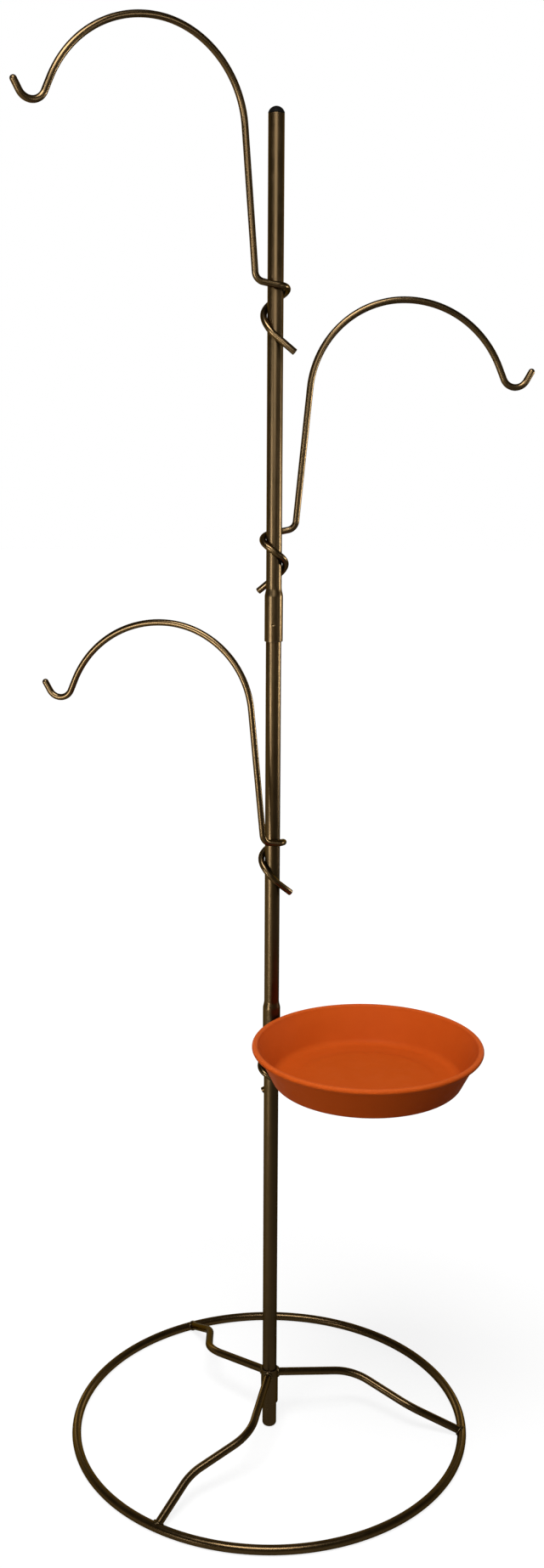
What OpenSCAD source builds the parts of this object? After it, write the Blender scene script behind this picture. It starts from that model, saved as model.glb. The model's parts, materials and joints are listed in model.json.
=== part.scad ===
// Hanging plant stand: a ring base carries a three-section pole, three bent rod hooks
// are wound round the pole, and a fourth winding carries a plastic saucer.
// Millimetres, Z up. The origin is on the floor, on the axis of the pole.

/* [Pole] */
// length of the lower section of the pole
lower_section_length = 606; // [560:1:640]
// length of the middle section of the pole, its bell included
middle_section_length = 587; // [560:1:640]
// length of the upper section of the pole, its bell included
upper_section_length = 605; // [560:1:640]
// outside diameter of the tube
tube_diameter = 19; // [17:0.5:22]
// wall of the tube and of its bell
tube_wall = 1.6; // [1.2:0.1:2]
// how deep a bell slips over the section below it
bell_depth = 58; // [45:1:65]
// length of the cone between the bell and the tube
bell_cone = 11; // [8:0.5:16]
// height of the end plug under the tube
foot_height = 5; // [4:0.5:8]
// radius of the rounded edge of the end plug
foot_edge = 4.5; // [2:0.1:4.8]
// height of the domed cap above the tube
cap_height = 8; // [6:0.5:14]
// how far the cap stands out over the side of the tube
cap_overhang = 0.1; // [0.1:0.1:1.5]
// height of the straight rim below the dome of the cap
cap_rim = 0.8; // [0.5:0.1:3]
// length of the shank of the foot plug and of the cap inside the tube
plug_length = 18; // [10:1:30]

/* [Base] */
// diameter of the base ring on the centre of its rod
ring_diameter = 523; // [480:1:560]
// diameter of the rod of the ring
ring_rod = 12; // [10:0.5:14]
// diameter of the rod of the legs
leg_rod = 10.5; // [8:0.5:12]
// height of the lower end of the sleeve
sleeve_height = 36; // [25:1:45]
// length of the sleeve that the legs carry
sleeve_length = 50; // [40:1:70]
// wall of the sleeve
sleeve_wall = 1.9; // [1.5:0.1:3]
// how far the legs leave the sleeve below its upper end
leg_drop = 8; // [7:0.5:14]
// direction of the right leg, in degrees
right_leg_turn = 0; // [-20:0.1:20]
// direction of the back leg, in degrees
back_leg_turn = 121.9; // [100:0.1:140]
// direction of the front leg, in degrees
front_leg_turn = 243.2; // [220:0.1:260]
// distance of the knee of a leg from the pole
knee_reach = 118; // [100:1:135]
// how far the knee is turned from where its leg starts, in degrees
knee_swing = 14.7; // [5:0.1:20]
// height of the knee
knee_height = 63; // [52:1:72]
// bend radius of the knee
knee_radius = 62; // [18:1:70]
// distance of the ankle of a leg from the pole
ankle_reach = 190.5; // [175:0.5:205]
// how far the ankle is turned, in degrees
ankle_swing = -4.7; // [-9:0.1:2]
// height of the ankle
ankle_height = 38; // [28:1:46]
// bend radius of the ankle
ankle_radius = 75; // [40:1:90]
// how far the welded end of a leg is turned, in degrees
toe_swing = -5.3; // [-10:0.1:0]
// height of the welded end above the centre of the ring's rod
toe_rise = 1.5; // [0:0.1:3]
// how far the rod of a leg reaches past the skin of the ring
toe_depth = 3; // [1:0.1:5]
// radius of a weld bead
bead_radius = 1.8; // [1.2:0.1:2.5]

/* [Hooks] */
// diameter of the rod of the hooks
hook_rod = 8; // [6:0.5:9]
// height of the top hook above the lower end of the upper section
top_hook_height = 432; // [400:1:445]
// height of the middle hook above the lower end of the upper section
middle_hook_height = 146; // [142:1:160]
// height of the lower hook above the lower end of the middle section
lower_hook_height = 292; // [180:1:310]
// direction of the arm of the top hook, in degrees
top_hook_turn = 207; // [0:1:360]
// direction of the arm of the middle hook, in degrees
middle_hook_turn = 8; // [0:1:360]
// direction of the arm of the lower hook, in degrees
lower_hook_turn = 164; // [0:1:360]
// how far the foot of the top hook is turned ahead of its arm, in degrees
top_foot_turn = 10; // [0:1:90]
// how far the foot of the middle hook is turned ahead of its arm, in degrees
middle_foot_turn = 20; // [0:1:90]
// how far the foot of the lower hook is turned ahead of its arm, in degrees
lower_foot_turn = 83; // [0:1:90]
// distance of the foot of the stem from the axis of the pole
stem_offset = 28.8; // [26:0.1:34]
// length of the straight stem
stem_length = 156; // [130:1:180]
// how far the stem of the top hook leans away from the pole, in degrees
top_stem_lean = 4.8; // [3:0.1:7]
// how far the stem of the middle hook leans away from the pole, in degrees
middle_stem_lean = 5.7; // [3:0.1:7]
// how far the stem of the lower hook leans away from the pole, in degrees
lower_stem_lean = 5.6; // [3:0.1:7]
// radius of the arch on the side of the stem
arch_radius = 114; // [95:1:130]
// angle of the arch on the side of the stem, in degrees
arch_angle = 82; // [75:1:92]
// radius of the arch on its outer side
fall_radius = 127.5; // [110:0.5:140]
// angle of the arch on its outer side, in degrees
fall_angle = 69; // [60:1:78]
// length of the straight run above the throat
fall_run = 14.5; // [4:0.5:25]
// radius of the throat in which a pot hangs
throat_radius = 15.9; // [12:0.1:22]
// angle of the throat, in degrees
throat_angle = 127; // [110:1:150]
// length of the straight tip, its round end included
tip_length = 16; // [10:0.1:25]

/* [Winding] */
// angle of the winding of a hook round the pole, in degrees
hook_winding_angle = 345; // [320:1:380]
// how far the winding of the top hook drops
top_winding_drop = 55; // [44:1:60]
// how far the winding of the middle hook drops
middle_winding_drop = 52; // [44:1:56]
// how far the winding of the lower hook drops
lower_winding_drop = 50; // [44:1:60]
// how much the winding of the top hook steepens on its way down, 1 is an even pitch
top_winding_power = 1.85; // [1.2:0.05:2.1]
// how much the winding of the middle hook steepens, 1 is an even pitch
middle_winding_power = 1.45; // [1.2:0.05:2.1]
// how much the winding of the lower hook steepens, 1 is an even pitch
lower_winding_power = 1.95; // [1.2:0.05:2.1]
// length of the straight tail of the top hook
top_tail_length = 25; // [15:0.5:28]
// length of the straight tail of the middle hook
middle_tail_length = 24; // [15:0.5:28]
// length of the straight tail of the lower hook
lower_tail_length = 19.5; // [15:0.5:28]
// fall of the tail of a hook per unit of its length in plan
tail_fall = 0.82; // [0.6:0.02:1.1]
// climb of the straight run from the winding to the foot of the stem
run_rise = 5; // [2:0.5:8]
// drop from the reference height of a hook to the foot of its stem
foot_drop = 10.5; // [8:0.5:14]
// bend radius between the stem and the winding
foot_radius = 12; // [9:0.5:14]

/* [Saucer] */
// outside diameter of the saucer over its lip
saucer_diameter = 284; // [250:1:300]
// height of the saucer
saucer_height = 48; // [42:1:60]
// wall of the saucer
saucer_wall = 2.6; // [2:0.1:4]
// radius of the rolled lip
lip_radius = 3.7; // [3:0.1:5]
// radius of the base of the saucer
saucer_base_radius = 115; // [96:0.5:120]
// radius of the rounded edge under the saucer
heel_radius = 9; // [2:0.5:12]
// radius of the cove between wall and floor
cove_radius = 12; // [8:0.5:18]
// diameter of the ring that carries the saucer, on the centre of its rod
holder_diameter = 156; // [120:1:170]
// direction of the saucer, in degrees
saucer_turn = -41; // [-180:1:180]
// angle of the winding of the holder round the pole, in degrees
holder_winding_angle = 405; // [380:1:430]
// how far the winding of the holder drops
holder_drop = 48; // [40:1:54]
// how much the winding of the holder steepens on its way down, 1 is an even pitch
holder_power = 1.15; // [1.05:0.05:1.6]
// length of the straight tail of the holder
holder_tail = 12; // [10:0.5:22]
// fall of the tail of the holder per unit of its length in plan
holder_tail_fall = 0.55; // [0.4:0.02:0.9]
// how far the arm of the holder falls on its way to the pole
holder_arm_fall = 6; // [0:0.5:8]
// bend radius between the arm and the ring of the holder
holder_bend = 12; // [10:0.5:16]
// gap between the cut end of that ring and its arm
holder_closing = 1; // [0.5:0.1:3]

/* [Fits] */
// radial clearance of the pole in its sleeve and in the bells
slide_clearance = 0.1; // [0.05:0.01:0.1]
// radial clearance of the windings round the pole
winding_clearance = 0.35; // [0.3:0.05:0.6]
// radial clearance of the plugs inside the tube
plug_clearance = 0.05; // [0.02:0.01:0.1]
// gap between the holder and the bell above it
holder_gap = 0.8; // [0.5:0.1:2]
// gap between the lip of the saucer and the bell beside it
saucer_gap = 3.3; // [2:0.1:8]

/* [Hidden] */
$fn = 96;

tube_radius = tube_diameter / 2;
bore_radius = tube_radius - tube_wall;
plug_radius = bore_radius - plug_clearance;
socket_radius = tube_radius + slide_clearance;
bell_radius = socket_radius + tube_wall;
middle_bottom = lower_section_length - bell_depth;
upper_bottom = middle_bottom + middle_section_length - bell_depth;
pole_top = upper_bottom + upper_section_length;

ring_radius = ring_diameter / 2;
sleeve_radius = socket_radius + sleeve_wall;
sleeve_top = sleeve_height + sleeve_length;
leg_turns = [right_leg_turn, back_leg_turn, front_leg_turn];

hook_radius = hook_rod / 2;
rod_sides = 14;
winding_radius = tube_radius + winding_clearance + hook_radius;
holder_top = middle_bottom - holder_gap;
holder_level = holder_top - hook_radius;
saucer_radius = saucer_diameter / 2;
saucer_reach = saucer_radius + bell_radius + saucer_gap;
holder_radius = holder_diameter / 2;

steel_brown = [0.20, 0.15, 0.10];
cap_black = [0.08, 0.08, 0.08];
weld_grey = [0.45, 0.40, 0.32];
terracotta = [0.78, 0.33, 0.13];

// vectors and arcs

function unit(v) = v / norm(v);

function polar(radius, angle, height) = [radius * cos(angle), radius * sin(angle), height];

function arc(centre, radius, start, end, steps) =
    [for (i = [1:steps]) centre + radius * [cos(start + (end - start) * i / steps),
                                            sin(start + (end - start) * i / steps)]];

// where a bend of the given radius starts on its way from one leg of a corner to the other
function bend_run(before, corner, after, radius) =
    radius / tan(acos(unit(before - corner) * unit(after - corner)) / 2);

function bend_centre(before, corner, after, radius) =
    let (a = unit(before - corner), b = unit(after - corner))
    corner + unit(a + b) * radius / sin(acos(a * b) / 2);

// the points of a rounded corner in space
function corner_points(before, corner, after, radius, steps) =
    let (run = bend_run(before, corner, after, radius),
         centre = bend_centre(before, corner, after, radius),
         u = unit(corner + run * unit(before - corner) - centre),
         w = unit(corner + run * unit(after - corner) - centre),
         angle = acos(u * w))
    [for (i = [0:steps]) let (t = i / steps)
        centre + radius * (sin((1 - t) * angle) * u + sin(t * angle) * w) / sin(angle)];

// rods swept along points: one unbroken skin of triangles

function headings(p) = [for (i = [0:len(p) - 1])
    unit(p[min(i + 1, len(p) - 1)] - p[max(i - 1, 0)])];

function level(v, along) = unit(v - (v * along) * along);

function frames(t, start) = [for (i = 0, v = level(start, t[0]); i < len(t);
    i = i + 1, v = i < len(t) ? level(v, t[i]) : v) v];

module swept_rod(points, radii, start) {
    t = headings(points);
    side = frames(t, start);
    last = len(points) - 1;
    skin = [for (i = [0:last], k = [0:rod_sides - 1])
        let (a = 360 * k / rod_sides)
        points[i] + radii[i] * (cos(a) * side[i] + sin(a) * cross(t[i], side[i]))];
    walls = [for (i = [0:last - 1], k = [0:rod_sides - 1], half = [0, 1])
        let (n = (k + 1) % rod_sides, a = i * rod_sides, b = a + rod_sides)
        half == 0 ? [a + k, b + k, b + n] : [a + k, b + n, a + n]];
    ends = [[for (k = [0:rod_sides - 1]) k],
            [for (k = [rod_sides - 1:-1:0]) last * rod_sides + k]];
    polyhedron(skin, concat(walls, ends));
}

// rounded end of a swept rod: points ahead of its last straight run, and their radii
round_steps = [0.5, 0.8, 0.97];

function round_points(end, heading, radius) =
    [for (s = round_steps) end - radius * (1 - s) * heading];

function round_radii(radius) = [for (s = round_steps) radius * sqrt(1 - s * s)];

// base

module ring_solid() {
    translate([0, 0, ring_rod / 2])
        rotate_extrude()
            translate([ring_radius, 0])
                circle(r = ring_rod / 2);
}

module base_ring() {
    color(steel_brown) ring_solid();
}

leg_hip = polar(socket_radius + sleeve_wall / 2, knee_swing, sleeve_top - leg_drop);
leg_knee = polar(knee_reach, knee_swing, knee_height);
leg_ankle = polar(ankle_reach, ankle_swing, ankle_height);
leg_toe = polar(ring_radius - ring_rod / 2 + toe_depth, toe_swing, ring_rod / 2 + toe_rise);

module leg_rod_solid() {
    points = concat(
        [leg_hip],
        corner_points(leg_hip, leg_knee, leg_ankle, knee_radius, 8),
        corner_points(leg_knee, leg_ankle, leg_toe, ankle_radius, 6),
        [leg_toe]);
    swept_rod(points, [for (p = points) leg_rod / 2], [0, 0, 1]);
}

module sleeve_outside() {
    translate([0, 0, sleeve_height])
        cylinder(r = sleeve_radius, h = sleeve_length);
}

module leg(index) {
    color(steel_brown)
        difference() {
            rotate([0, 0, leg_turns[index]]) leg_rod_solid();
            sleeve_outside();
            ring_solid();
        }
}

module leg_right() { leg(0); }

module leg_back() { leg(1); }

module leg_front() { leg(2); }

module hub_sleeve() {
    color(steel_brown)
        difference() {
            sleeve_outside();
            translate([0, 0, sleeve_height - 1])
                cylinder(r = socket_radius, h = sleeve_length + 2);
        }
}

// a bead round the rod of a leg, centred on its surface
module bead(at, heading) {
    translate(at)
        rotate([0, acos(heading.z), atan2(heading.y, heading.x)])
            rotate_extrude()
                translate([leg_rod / 2, 0])
                    circle(r = bead_radius);
}

hip_heading = unit(leg_knee - leg_hip);
toe_heading = unit(leg_toe - leg_ankle);
hip_bead_reach = sleeve_wall / 2 + bead_radius / 3;
toe_bead_reach = toe_depth + bead_radius / 3;

module hub_welds() {
    color(weld_grey)
        for (turn = leg_turns)
            rotate([0, 0, turn])
                difference() {
                    bead(leg_hip + hip_bead_reach * hip_heading, hip_heading);
                    leg_rod_solid();
                    sleeve_outside();
                }
}

module ring_welds() {
    color(weld_grey)
        for (turn = leg_turns)
            rotate([0, 0, turn])
                difference() {
                    bead(leg_toe - toe_bead_reach * toe_heading, toe_heading);
                    leg_rod_solid();
                    ring_solid();
                }
}

// pole

module pole_lower() {
    color(steel_brown)
        translate([0, 0, foot_height])
            difference() {
                cylinder(r = tube_radius, h = lower_section_length - foot_height);
                translate([0, 0, -1])
                    cylinder(r = bore_radius, h = lower_section_length + 2);
            }
}

module foot_plug() {
    edge = min(foot_edge, foot_height - 0.2);
    color(steel_brown)
        rotate_extrude()
            polygon(concat(
                [[0, 0], [tube_radius - edge, 0]],
                arc([tube_radius - edge, edge], edge, -90, 0, 12),
                [[tube_radius, foot_height], [plug_radius, foot_height],
                 [plug_radius, foot_height + plug_length], [0, foot_height + plug_length]]));
}

// a section whose lower end is widened to slip over the section below
module belled_section(length) {
    outer_start = bell_depth - bell_cone / 3;
    color(steel_brown)
        rotate_extrude()
            polygon([
                [socket_radius, 0],
                [bell_radius, 0],
                [bell_radius, outer_start],
                [tube_radius, outer_start + bell_cone],
                [tube_radius, length],
                [bore_radius, length],
                [bore_radius, bell_depth + bell_cone * 2 / 3],
                [socket_radius, bell_depth]]);
}

module pole_middle() {
    translate([0, 0, middle_bottom]) belled_section(middle_section_length);
}

module pole_upper() {
    translate([0, 0, upper_bottom]) belled_section(upper_section_length);
}

module top_cap() {
    cap_radius = tube_radius + cap_overhang;
    dome = cap_height - cap_rim;
    dome_radius = (cap_radius * cap_radius + dome * dome) / (2 * dome);
    half = asin(cap_radius / dome_radius);
    color(cap_black)
        translate([0, 0, pole_top])
            rotate_extrude()
                polygon(concat(
                    [[0, -plug_length], [plug_radius, -plug_length], [plug_radius, 0],
                     [cap_radius, 0], [cap_radius, cap_rim]],
                    arc([0, cap_height - dome_radius], dome_radius, 90 - half, 90, 16)));
}

// windings

winding_steps = 32;
ring_steps = 40;

function winding_start(reach) = acos(winding_radius / reach);

// how late on its way down a winding eases into the fall of its tail
ease_power = 12;

// from the tail upward to the level start of the winding
function winding_points(start, angle, drop, power, tail, fall) =
    let (length = winding_radius * angle * PI / 180,
         ease = drop * power - fall * length,
         leaves = start + angle,
         out = [-sin(leaves), cos(leaves), -fall],
         end = polar(winding_radius, leaves, -drop))
    concat([end + tail * out, end + tail / 2 * out],
        [for (i = [winding_steps:-1:0]) let (t = i / winding_steps)
            polar(winding_radius, start + angle * t,
                -drop * pow(t, power) - ease * pow(t, ease_power) * (1 - t))]);

// hooks: an arm in one upright plane, measured outward and upward from the foot of an upright
// stem, and then leaned

function leaned(p, lean) =
    [for (q = p) [q.x * cos(lean) + q.y * sin(lean), q.y * cos(lean) - q.x * sin(lean)]];

function rise(p, foot) = [for (q = p) foot + [q.x, 0, q.y]];

stem_top = [0, stem_length + foot_drop];
arch_centre = stem_top + [arch_radius, 0];
arch_points = arc(arch_centre, arch_radius, 180, 180 - arch_angle, 12);
fall_heading = 90 - arch_angle;
fall_start = arch_points[len(arch_points) - 1];
fall_centre = fall_start + fall_radius * [sin(fall_heading), -cos(fall_heading)];
fall_points = arc(fall_centre, fall_radius, fall_heading + 90, fall_heading + 90 - fall_angle, 10);
run_heading = fall_heading - fall_angle;
throat_start = fall_points[len(fall_points) - 1] + fall_run * [cos(run_heading), sin(run_heading)];
throat_centre = throat_start + throat_radius * [-sin(run_heading), cos(run_heading)];
throat_points = arc(throat_centre, throat_radius, run_heading - 90, run_heading - 90 + throat_angle, 12);
tip_heading = run_heading + throat_angle;
tip_end = throat_points[len(throat_points) - 1] + tip_length * [cos(tip_heading), sin(tip_heading)];

module hook(turn, foot_turn, height, lean, drop, power, tail) {
    foot = polar(stem_offset, foot_turn, -foot_drop);
    start = foot_turn + winding_start(stem_offset);
    winding = [for (p = winding_points(start, hook_winding_angle, drop, power, tail, tail_fall))
        p + [0, 0, -foot_drop - run_rise]];
    arm = concat([stem_top], arch_points, fall_points, [throat_start], throat_points, [tip_end]);
    raised = rise(leaned(arm, lean), foot);
    end = raised[len(raised) - 1];
    upper = [for (i = [0:len(raised) - 2]) raised[i]];
    bend = corner_points(winding[len(winding) - 1], foot, raised[0], foot_radius, 7);
    body = concat(winding, bend, upper);
    heading = [cos(tip_heading - lean), 0, sin(tip_heading - lean)];
    points = concat(body, [end - hook_radius * heading], round_points(end, heading, hook_radius));
    radii = concat([for (p = body) hook_radius], [hook_radius], round_radii(hook_radius));
    color(steel_brown)
        translate([0, 0, height])
            rotate([0, 0, turn])
                swept_rod(points, radii, [0, 0, 1]);
}

module hook_top() {
    hook(top_hook_turn, top_foot_turn, upper_bottom + top_hook_height, top_stem_lean,
        top_winding_drop, top_winding_power, top_tail_length);
}

module hook_middle() {
    hook(middle_hook_turn, middle_foot_turn, upper_bottom + middle_hook_height, middle_stem_lean,
        middle_winding_drop, middle_winding_power, middle_tail_length);
}

module hook_lower() {
    hook(lower_hook_turn, lower_foot_turn, middle_bottom + lower_hook_height, lower_stem_lean,
        lower_winding_drop, lower_winding_power, lower_tail_length);
}

// saucer and its holder: the arm lies along X from the winding to the ring

module saucer_holder() {
    start = winding_start(saucer_reach);
    touch = asin(holder_bend / (holder_radius + holder_bend));
    bend_reach = sqrt(pow(holder_radius + holder_bend, 2) - pow(holder_bend, 2));
    closing = asin((hook_radius + holder_closing) / holder_radius);
    winding = [for (p = winding_points(start, holder_winding_angle, holder_drop, holder_power,
        holder_tail, holder_tail_fall)) p + [0, 0, -holder_arm_fall]];
    centre = [saucer_reach, 0, 0];
    heading = unit(centre - polar(winding_radius, start, 0));
    side = [-heading.y, heading.x, 0];
    bend_at = centre - bend_reach * heading;
    bend_points = [for (i = [0:6]) let (a = (90 - touch) * i / 6)
        bend_at + holder_bend * (sin(a) * heading + (1 - cos(a)) * side)];
    ring_starts = 180 - touch;
    ring_ends = closing - 180;
    ring_points = [for (i = [1:ring_steps])
        let (a = ring_starts + (ring_ends - ring_starts) * i / ring_steps)
        centre + holder_radius * (cos(a) * heading + sin(a) * side)];
    points = concat(winding, bend_points, ring_points);
    color(steel_brown)
        translate([0, 0, holder_level])
            rotate([0, 0, saucer_turn])
                swept_rod(points, [for (p = points) hook_radius], [0, 0, 1]);
}

module saucer() {
    lip_centre = [saucer_radius - lip_radius, saucer_height - lip_radius];
    wall_top = lip_centre - [lip_radius - saucer_wall, 0];
    wall_foot = [saucer_base_radius, 0];
    slope = atan2(wall_top.y - wall_foot.y, wall_top.x - wall_foot.x);
    heel_run = heel_radius * tan(slope / 2);
    cove_run = cove_radius * tan(slope / 2);
    cove_corner = wall_foot + [saucer_wall / tan(slope) - saucer_wall / sin(slope), saucer_wall];
    cove_centre = cove_corner + [-cove_run, cove_radius];
    color(terracotta)
        translate(polar(saucer_reach, saucer_turn, holder_top))
            rotate_extrude($fn = 128)
                union() {
                    polygon(concat(
                        [[0, 0], [saucer_base_radius - heel_run, 0]],
                        arc([saucer_base_radius - heel_run, heel_radius], heel_radius, -90, slope - 90, 6),
                        [wall_top + [0, lip_radius / 2], wall_top + [-saucer_wall, lip_radius / 2]],
                        [cove_corner + cove_run * [cos(slope), sin(slope)]],
                        arc(cove_centre, cove_radius, slope - 90, -90, 10),
                        [[0, saucer_wall]]));
                    translate(lip_centre) circle(r = lip_radius, $fn = 32);
                }
}

base_ring();
leg_right();
leg_back();
leg_front();
hub_sleeve();
ring_welds();
hub_welds();
pole_lower();
foot_plug();
pole_middle();
pole_upper();
top_cap();
hook_top();
hook_middle();
hook_lower();
saucer_holder();
saucer();
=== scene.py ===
import json
import math

import bmesh
import bpy
from mathutils import Matrix, Vector, noise


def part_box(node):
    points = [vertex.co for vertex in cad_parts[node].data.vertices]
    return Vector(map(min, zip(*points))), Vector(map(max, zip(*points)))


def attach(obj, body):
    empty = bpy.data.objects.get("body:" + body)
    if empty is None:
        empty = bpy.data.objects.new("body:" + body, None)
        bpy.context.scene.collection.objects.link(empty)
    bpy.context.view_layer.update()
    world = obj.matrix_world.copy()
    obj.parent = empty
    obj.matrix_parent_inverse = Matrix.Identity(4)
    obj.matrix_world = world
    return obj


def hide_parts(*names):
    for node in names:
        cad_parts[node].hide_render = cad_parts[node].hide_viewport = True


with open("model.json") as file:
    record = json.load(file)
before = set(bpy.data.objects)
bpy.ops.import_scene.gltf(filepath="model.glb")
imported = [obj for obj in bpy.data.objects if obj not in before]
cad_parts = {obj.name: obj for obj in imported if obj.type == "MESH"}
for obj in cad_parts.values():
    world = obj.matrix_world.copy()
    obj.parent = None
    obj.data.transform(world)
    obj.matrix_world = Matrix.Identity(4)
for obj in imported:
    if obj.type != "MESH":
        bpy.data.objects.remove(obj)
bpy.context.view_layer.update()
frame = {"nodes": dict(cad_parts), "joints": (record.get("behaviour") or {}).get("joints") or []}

mm = 0.001  # the stand's sizes are in millimetres; its meshes and the studio are in metres
origin = Vector()
upward = Vector((0, 0, 1))
jointAt = {joint["name"]: Vector(joint.get("pos_m", (0, 0, 0))) / mm for joint in frame["joints"]}
print("frame loaded:", len(frame["nodes"]), "nodes")


# the camera stands where the photographer stood

cameraSettings = {
    "distance": 1964.65,  # from the pole's axis, along -Y
    "height": 1342.2,
    "pitch": 12.74,  # looking down
    "roll": 0.32,
    "lens": 37.08,
    "sensor": 36,
    "shiftX": -0.0005,
}


def makeCamera(settings):
    data = bpy.data.cameras.new("photoCamera")
    data.lens = settings["lens"]
    data.sensor_width = settings["sensor"]
    data.shift_x = settings["shiftX"]
    camera = bpy.data.objects.new("photoCamera", data)
    tilt = Matrix.Rotation(math.radians(90 - settings["pitch"]), 4, "X")
    roll = Matrix.Rotation(math.radians(settings["roll"]), 4, "Z")
    place = Matrix.Translation(Vector((0, -settings["distance"], settings["height"])) * mm)
    camera.matrix_world = place @ tilt @ roll
    bpy.context.scene.collection.objects.link(camera)
    bpy.context.scene.camera = camera


makeCamera(cameraSettings)
print("camera placed")


# nodes: an input that gets a socket is linked, and one that gets a value is set

def feed(tree, node, inputs):
    for key, part in inputs.items():
        if isinstance(part, bpy.types.NodeSocket):
            tree.links.new(part, node.inputs[key])
        else:
            node.inputs[key].default_value = part


def addNode(tree, kind, inputs, **settings):
    node = tree.nodes.new(kind)
    for key, value in settings.items():
        setattr(node, key, value)
    feed(tree, node, inputs)
    return node.outputs


def addMath(tree, operation, first, second, clamp=False):
    return addNode(tree, "ShaderNodeMath", {0: first, 1: second}, operation=operation,
                   use_clamp=clamp)[0]


def addMix(tree, factor, first, second):
    return addNode(tree, "ShaderNodeMix", {0: factor, 6: first, 7: second}, data_type="RGBA")[2]


def addNoise(tree, where, scale, detail, roughness):
    return addNode(tree, "ShaderNodeTexNoise", {"Vector": where, "Scale": scale, "Detail": detail,
                                                "Roughness": roughness})["Fac"]


def addRange(tree, value, low, high, toLow=0.0, toHigh=1.0):
    return addNode(tree, "ShaderNodeMapRange", {"Value": value, "From Min": low, "From Max": high,
                                                "To Min": toLow, "To Max": toHigh})[0]


def objectPlace(tree):
    return addNode(tree, "ShaderNodeTexCoord", {})["Object"]


def newGroup(name, inputs, outputs):
    group = bpy.data.node_groups.new(name, "ShaderNodeTree")
    for direction, sockets in (("INPUT", inputs), ("OUTPUT", outputs)):
        for label, kind in sockets.items():
            group.interface.new_socket(name=label, in_out=direction,
                                       socket_type="NodeSocket" + kind)
    given = group.nodes.new("NodeGroupInput").outputs
    result = group.nodes.new("NodeGroupOutput").inputs
    return group, given, result


def placeGroup(tree, group, inputs):
    return addNode(tree, "ShaderNodeGroup", inputs, node_tree=group)


# effects that more than one finish uses; each noise is given by its detail and roughness

driftSettings = {
    "broad": (4.0, 0.6),
    "fine": (2.0, 0.6),
    "fineScale": 9.0,  # times the scale of the broad noise
    "shares": (0.75, 0.25),  # of the broad noise and the fine one
    "edge": (0.38, 0.62),  # where the undertone starts, and where it is full
}

grainSettings = {
    "grain": (2.0, 0.5),
    "waves": (1.0, 0.4),
    "waveScale": 0.18,  # times the scale of the grain
    "patches": (3.0, 0.6),
    "patchScale": 55.0,
    "patchEdge": (0.35, 0.65),  # where a smooth patch ends, and where a rough one is full
}

# flakes of the paler tone: worn paint, and also painted highlight and painted sheen
wearAndSheenSettings = {
    "flakes": (3.0, 0.7),
    "flakeScale": 420.0,
    "flakeEdge": (0.35, 0.6),  # where the wear starts, and where it is full
}


# slow drift between two tones of one paint or plastic, with a broken, cloudy edge
def makeToneDrift(settings):
    inputs = {"Tone": "Color", "Undertone": "Color", "Scale": "Float", "Amount": "Float"}
    group, given, result = newGroup("toneDrift", inputs, {"Color": "Color"})
    where = objectPlace(group)
    broad = addNoise(group, where, given["Scale"], *settings["broad"])
    fineScale = addMath(group, "MULTIPLY", given["Scale"], settings["fineScale"])
    fine = addNoise(group, where, fineScale, *settings["fine"])
    broadShare, fineShare = settings["shares"]
    cloud = addMath(group, "ADD", addMath(group, "MULTIPLY", broad, broadShare),
                    addMath(group, "MULTIPLY", fine, fineShare))
    mask = addRange(group, cloud, *settings["edge"])
    share = addMath(group, "MULTIPLY", mask, given["Amount"], clamp=True)
    group.links.new(addMix(group, share, given["Tone"], given["Undertone"]), result["Color"])
    return group


# orange peel of sprayed paint, and the grain of moulded plastic
def makeSurfaceGrain(settings):
    inputs = {"Scale": "Float", "Coarse": "Float", "Smooth": "Float", "Rough": "Float"}
    group, given, result = newGroup("surfaceGrain", inputs,
                                    {"Height": "Float", "Roughness": "Float"})
    where = objectPlace(group)
    grain = addNoise(group, where, given["Scale"], *settings["grain"])
    waveScale = addMath(group, "MULTIPLY", given["Scale"], settings["waveScale"])
    waves = addNoise(group, where, waveScale, *settings["waves"])
    height = addMath(group, "ADD", grain, addMath(group, "MULTIPLY", waves, given["Coarse"]))
    patches = addNoise(group, where, settings["patchScale"], *settings["patches"])
    rough = addRange(group, patches, *settings["patchEdge"])
    spread = addMath(group, "SUBTRACT", given["Rough"], given["Smooth"])
    roughness = addMath(group, "ADD", given["Smooth"], addMath(group, "MULTIPLY", rough, spread))
    group.links.new(height, result["Height"])
    group.links.new(roughness, result["Roughness"])
    return group


# a paler tone in flakes where the mesh carries wear: worn paint, and at the sawn hook ends and the
# top of the saucer's lip also a painted highlight and a painted sheen
def makeWearAndPaintedSheen(settings):
    inputs = {"Color": "Color", "Worn": "Color", "Amount": "Float"}
    group, given, result = newGroup("wearAndPaintedSheen", inputs, {"Color": "Color"})
    worn = addNode(group, "ShaderNodeAttribute", {}, attribute_name="wear")["Fac"]
    noisy = addNoise(group, objectPlace(group), settings["flakeScale"], *settings["flakes"])
    flakes = addRange(group, noisy, *settings["flakeEdge"])
    mask = addMath(group, "MULTIPLY", addMath(group, "MULTIPLY", worn, flakes), given["Amount"],
                   clamp=True)
    group.links.new(addMix(group, mask, given["Color"], given["Worn"]), result["Color"])
    return group


toneDrift = makeToneDrift(driftSettings)
surfaceGrain = makeSurfaceGrain(grainSettings)
wearAndPaintedSheen = makeWearAndPaintedSheen(wearAndSheenSettings)


# finishes: three dark bronze paints and two moulded plastics

paintSettings = {
    "drift": 0.85,  # how far the undertone comes through
    "wear": 0.8,
    "grainScale": 1500.0,
    "coarse": 0.8,
    "bump": 0.05,
    "bumpHeight": 0.0002,
    "grazingTint": (0.45, 0.41, 0.34, 1),
}

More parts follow.
